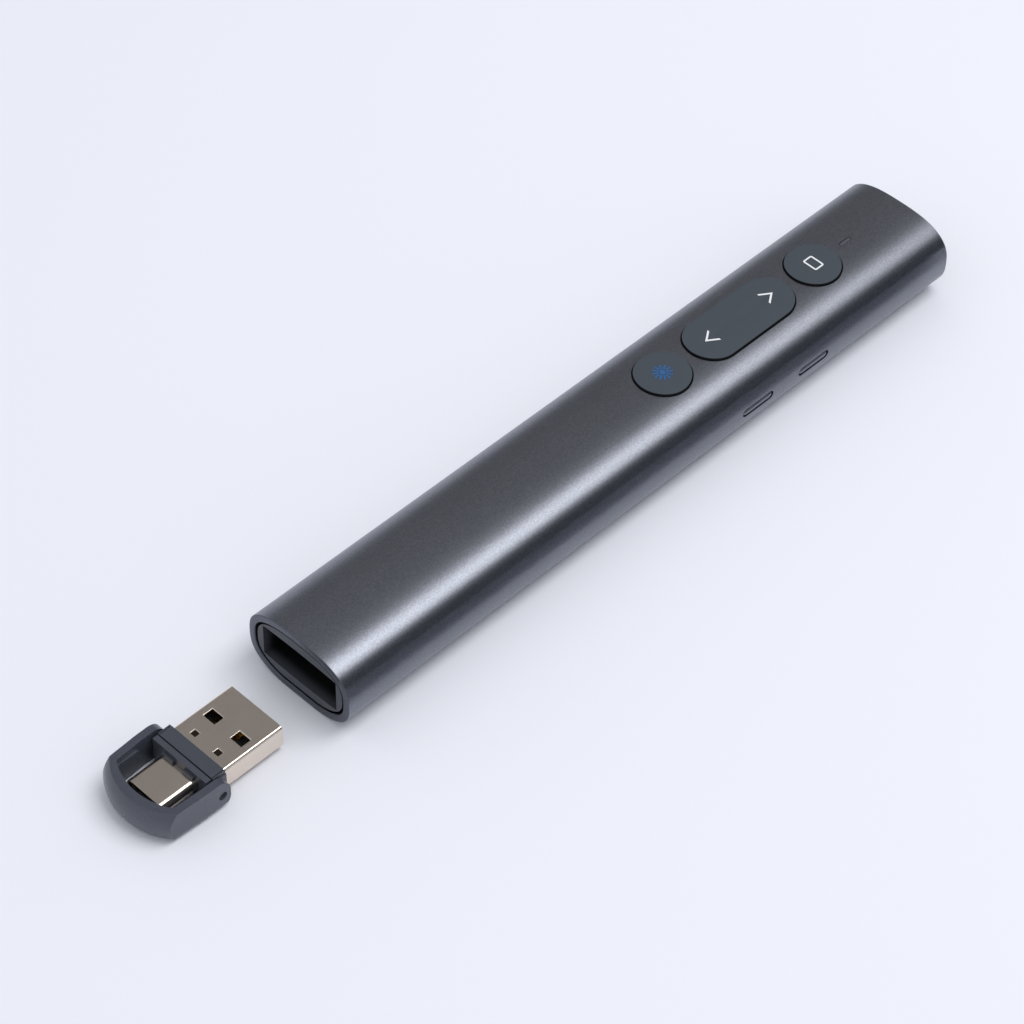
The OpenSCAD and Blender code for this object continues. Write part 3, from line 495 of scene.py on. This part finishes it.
finishes["light_plastic"] = clear_part("frosted_polycarbonate", "#868b99", 0.5, 1.58)
finishes["lens_glass"] = clear_part("optical_glass", "#dfe8f0", 0.02, 1.52)
print(sorted(finishes))

# %% [markdown]
# ## Every solid gets its finish
#
# The record names one finish for each solid. A solid keeps its mesh, and only the material in its
# slot changes.

# %% Finish the solids
slot_of = {part["node"]: part["material_slot"] for part in frame["record"]["subparts"]}
for name, node in frame["nodes"].items():
    node.data.materials.clear()
    node.data.materials.append(finishes[slot_of[name]])
print(len(slot_of), "solids finished")

# %% [markdown]
# ## Rounded edges
#
# A real edge is never perfectly sharp, and the thin bright line on it is what makes a small part look
# real. For each solid that shows, a copy is merged into whole faces, and a bevel rounds its edges. The
# copy then stands for the solid. Three kinds of piece get a shape of their own first, each from one of
# the next three helpers, which work on the mesh that is in edit mode.
#
# The slim side keys are pillows: their faces sink 0.4 mm towards the edge. The face is pushed in, and
# then raised again by a row of insets that follow a quarter of an ellipse.

# %% Pillow a face
def dome(face_way, height_mm, inset_mm, steps=6):
    """Turns the outermost flat face that looks along face_way into a low pillow."""
    mesh = bpy.context.object.data
    bpy.ops.mesh.select_mode(type="FACE")
    bpy.ops.mesh.select_all(action="DESELECT")
    bpy.ops.object.mode_set(mode="OBJECT")
    top = max(v.co.dot(face_way) for v in mesh.vertices)
    flat_within = 0.01 * MM
    for face in mesh.polygons:
        face.select = all(top - mesh.vertices[v].co.dot(face_way) < flat_within
                          for v in face.vertices)
    bpy.ops.object.mode_set(mode="EDIT")
    bpy.ops.mesh.dissolve_faces()
    bpy.ops.transform.translate(value=face_way * -height_mm * MM)
    angles = [math.pi / 2 * i / steps for i in range(steps + 1)]
    for before, after in zip(angles, angles[1:]):
        bpy.ops.mesh.inset(thickness=(math.cos(before) - math.cos(after)) * inset_mm * MM,
                           depth=(math.sin(after) - math.sin(before)) * height_mm * MM)


side_key_pillow = {"face_way": Vector((0, -1, 0)), "height_mm": 0.4, "inset_mm": 0.62}
print("a pillow", side_key_pillow["height_mm"], "mm high, over", side_key_pillow["inset_mm"],
      "mm of its border")

# %% [markdown]
# The tube's sawn ends are tumbled until their edges are round, with a radius of 0.14 mm. The line
# where the rounding starts is marked sharp, or it would tilt the shading of the whole long wall.

# %% Round the tube's ends
SAME_PLACE = 0.001 * MM


def select_loops(mesh, places):
    """Selects the edges that lie in the planes across X at those places."""
    bpy.ops.mesh.select_mode(type="EDGE")
    bpy.ops.mesh.select_all(action="DESELECT")
    bpy.ops.object.mode_set(mode="OBJECT")
    for edge in mesh.edges:
        edge.select = any(all(abs(mesh.vertices[v].co.x - x) < SAME_PLACE for v in edge.vertices)
                          for x in places)
    bpy.ops.object.mode_set(mode="EDIT")


def round_ends(radius_mm):
    mesh = bpy.context.object.data
    low, high = (limit(v.co.x for v in mesh.vertices) for limit in (min, max))
    select_loops(mesh, (low, high))
    bpy.ops.mesh.bevel(offset=radius_mm * MM, segments=3, affect="EDGES", clamp_overlap=False)
    select_loops(mesh, (low + radius_mm * MM, high - radius_mm * MM))
    bpy.ops.mesh.mark_sharp()


print("edges in one plane agree to", SAME_PLACE / MM, "mm")

# %% [markdown]
# The punch rolls the edges of the holes and dents in the plug's shell, and the roll catches a pale
# line of light. Those edges are the sharp ones in the top and the bottom face that keep a margin from
# the shell's own outline.

# %% Round the plug's openings
def round_openings(radius_mm, margin_mm=0.4):
    mesh = bpy.context.object.data
    bpy.ops.mesh.select_mode(type="EDGE")
    bpy.ops.mesh.select_all(action="DESELECT")
    bpy.ops.mesh.edges_select_sharp(sharpness=math.radians(60))
    bpy.ops.object.mode_set(mode="OBJECT")
    low, high = (Vector([limit(v.co[axis] for v in mesh.vertices) for axis in range(3)])
                 for limit in (min, max))
    for edge in mesh.edges:
        edge.select = edge.select and all(
            min(point.z - low.z, high.z - point.z) < SAME_PLACE
            and all(low[axis] + margin_mm * MM < point[axis] < high[axis] - margin_mm * MM
                    for axis in (0, 1))
            for point in (mesh.vertices[v].co for v in edge.vertices))
    print(sum(edge.select for edge in mesh.edges), "edges round the openings")
    bpy.ops.object.mode_set(mode="EDIT")
    bpy.ops.mesh.bevel(offset=radius_mm * MM, segments=4, affect="EDGES", clamp_overlap=False)


# %% [markdown]
# The copy itself: points that lie together are merged, triangles in one plane become one face, and
# the bevel takes every edge of more than 30 degrees. Where a wall or a groove is too thin for the
# radius, the bevel stops early by itself.

# %% Copy a solid and round its edges
body_of_node = {n: b for b, names in frame["record"]["behaviour"]["bodies"].items() for n in names}
SHARP = math.radians(30)


def round_edges(node, radius_mm, steps=2, pillow=None, end_radius_mm=None, opening_radius_mm=None):
    piece = bpy.data.objects.new(node + "_rounded", frame["nodes"][node].data.copy())
    bpy.context.scene.collection.objects.link(piece)
    bpy.ops.object.select_all(action="DESELECT")
    piece.select_set(True)
    bpy.context.view_layer.objects.active = piece
    bpy.ops.mesh.customdata_custom_splitnormals_clear()
    bpy.ops.object.mode_set(mode="EDIT")
    bpy.ops.mesh.select_all(action="SELECT")
    bpy.ops.mesh.remove_doubles(threshold=0.002 * MM)
    bpy.ops.mesh.dissolve_limited(angle_limit=math.radians(0.01))
    if pillow:
        dome(**pillow)
    if end_radius_mm:
        round_ends(end_radius_mm)
    if opening_radius_mm:
        round_openings(opening_radius_mm)
    bpy.ops.object.mode_set(mode="OBJECT")
    bpy.ops.object.shade_smooth_by_angle(angle=SHARP)
    bevel = piece.modifiers.new("round", "BEVEL")
    bevel.width = radius_mm * MM
    bevel.segments = steps
    bevel.limit_method = "ANGLE"
    bevel.angle_limit = SHARP
    bevel.harden_normals = True
    bpy.ops.object.modifier_apply(modifier="round")
    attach(piece, body_of_node[node])
    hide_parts(node)
    print(node, len(piece.data.polygons), "faces")
    return piece


# %% [markdown]
# The radii are those of the real processes: about 0.1 mm on stamped metal, 0.2 mm on a moulding or a
# casting, and less on the small parts. The pieces with a shape of their own come last.

# %% Round the pieces
rounded = {node: round_edges(node, radius_mm, steps) for node, radius_mm, steps in [
    ("dock_insert", 0.06, 2),
    ("nose_plug", 0.2, 3),
    ("battery_door", 0.1, 2),
    ("laser_key", 0.22, 3),
    ("page_rocker", 0.22, 3),
    ("screen_key", 0.22, 3),
    ("power_knob", 0.12, 2),
    ("usb_a_tongue", 0.1, 2),
    ("usb_c_shell", 0.06, 2),
    ("usb_c_liner", 0.06, 2),
    ("receiver_collar", 0.12, 2),
    ("receiver_core", 0.1, 2),
    ("swivel_bow", 0.18, 3),
    ("hinge_pins", 0.1, 2),
]}
rounded["body_tube"] = round_edges("body_tube", 0.05, end_radius_mm=0.14)
rounded["usb_a_shell"] = round_edges("usb_a_shell", 0.08, opening_radius_mm=0.13)
for node in ("volume_down_key", "volume_up_key"):
    rounded[node] = round_edges(node, 0.05, pillow=side_key_pillow)
print(len(rounded), "pieces rounded")

# %% [markdown]
# ## Printed marks
#
# The signs on the keys are pad printed: a film of ink about 0.03 mm thick. Each is drawn as a flat
# outline above its key, dropped onto the key's crowned top with a shrinkwrap, and then given its
# thickness. The laser key has a blue burst, the rocker an arrowhead at each end, and the screen key a
# small upright rectangle.

# %% Drop a flat drawing onto a key
white_ink = plastic("white_pad_print_ink", "#f2f4f6", 0.5, 0.1, 0.002)
blue_ink = plastic("blue_pad_print_ink", "#1c5f9c", 0.5, 0.1, 0.002)


def print_on(key, ink, name, film_thickness=0.03 * MM, clearance=0.005 * MM):
    """Finishes the active flat mesh, which lies above key, as ink on key's top."""
    mark = bpy.context.object
    mark.name = name
    bpy.ops.object.mode_set(mode="EDIT")
    bpy.ops.mesh.select_all(action="SELECT")
    bpy.ops.mesh.quads_convert_to_tris()
    bpy.ops.mesh.subdivide(number_cuts=2)
    bpy.ops.object.mode_set(mode="OBJECT")
    bpy.ops.object.transform_apply(location=True, rotation=True, scale=True)
    drop = mark.modifiers.new("drop", "SHRINKWRAP")
    drop.target = rounded[key]
    drop.wrap_method = "PROJECT"
    drop.use_project_x = drop.use_project_y = False
    drop.use_project_z = True
    drop.use_negative_direction = True
    drop.use_positive_direction = False
    drop.offset = clearance
    bpy.ops.object.modifier_apply(modifier="drop")
    film = mark.modifiers.new("film", "SOLIDIFY")
    film.thickness = film_thickness
    film.offset = 1
    bpy.ops.object.modifier_apply(modifier="film")
    mark.data.materials.append(ink)
    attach(mark, body_of_node[key])
    top = max(v.co.z for v in mark.data.vertices)
    print(name, len(mark.data.polygons), "faces, top at", round(top / MM, 2), "mm")


def middle(node):
    low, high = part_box(node)
    return (low + high) / 2


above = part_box("laser_key")[1].z + 1 * MM
print("the marks are drawn at", round(above / MM, 2), "mm")

# %% [markdown]
# The burst is one short straight ray, spun into twelve, round a small disc. The spin puts its last
# copy back on the first ray, so points that lie together are merged.

# %% Burst on the laser key
centre = middle("laser_key")
centre.z = above
ray_length_mm, ray_width_mm, ray_middle = 1.1, 0.3, 1.25 * MM
disc_radius = 0.5 * MM
bpy.ops.object.select_all(action="DESELECT")
bpy.ops.mesh.primitive_plane_add(size=1 * MM, location=centre)
bpy.ops.object.mode_set(mode="EDIT")
bpy.ops.transform.resize(value=(ray_length_mm, ray_width_mm, 1))
bpy.ops.transform.translate(value=(ray_middle, 0, 0))
bpy.ops.mesh.spin(steps=12, dupli=True, angle=2 * math.pi, center=centre, axis=(0, 0, 1))
bpy.ops.mesh.select_all(action="SELECT")
bpy.ops.mesh.remove_doubles(threshold=0.01 * MM)
bpy.ops.mesh.primitive_circle_add(vertices=24, radius=disc_radius, fill_type="NGON",
                                  location=centre)
bpy.ops.object.mode_set(mode="OBJECT")
print_on("laser_key", blue_ink, "burst_mark")

# %% [markdown]
# An arrowhead is one corner of a frame: a square stood on its corner and squeezed, inset to the width
# of the line, its inside deleted, and all but the corner cut away.

# %% Arrowheads on the rocker
def arrowhead(tip_x, way, name):
    """The tip is at tip_x and points along way, 1 or -1 on X."""
    height, half_width, line = 2.25 * MM, 1.55 * MM, 0.34 * MM
    foot = (tip_x - way * height, 0, above)
    bpy.ops.object.select_all(action="DESELECT")
    bpy.ops.mesh.primitive_plane_add(size=2, location=foot, rotation=(0, 0, math.pi / 4))
    bpy.ops.object.transform_apply(location=False, rotation=True, scale=False)
    bpy.ops.object.mode_set(mode="EDIT")
    bpy.ops.transform.resize(value=(height / math.sqrt(2), half_width / math.sqrt(2), 1))
    bpy.ops.mesh.inset(thickness=line)
    bpy.ops.mesh.delete(type="FACE")
    bpy.ops.mesh.select_all(action="SELECT")
    bpy.ops.mesh.bisect(plane_co=foot, plane_no=(way, 0, 0), clear_inner=True)
    bpy.ops.object.mode_set(mode="OBJECT")
    print_on("page_rocker", white_ink, name)


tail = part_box("body_tube")[0].x
page_down_tip, page_up_tip = tail + 92.9 * MM, tail + 109.74 * MM
arrowhead(page_down_tip, -1, "page_down_mark")
arrowhead(page_up_tip, 1, "page_up_mark")

# %% [markdown]
# The rectangle stands across the tube. Its corners are rounded first, and an inset then gives the
# line its width, so the line bends round the corners too.

# %% Rectangle on the screen key
centre = middle("screen_key")
along_mm, across_mm, corner, line = 2.2, 3.1, 0.35 * MM, 0.3 * MM
off_centre = 0.12 * MM
bpy.ops.object.select_all(action="DESELECT")
bpy.ops.mesh.primitive_plane_add(size=1 * MM, location=(centre.x + off_centre, 0, above))
bpy.ops.object.mode_set(mode="EDIT")
bpy.ops.transform.resize(value=(along_mm, across_mm, 1))
bpy.ops.mesh.bevel(offset=corner, segments=3, affect="VERTICES")
bpy.ops.mesh.inset(thickness=line)
bpy.ops.mesh.delete(type="FACE")
bpy.ops.object.mode_set(mode="OBJECT")
print_on("screen_key", white_ink, "screen_mark")
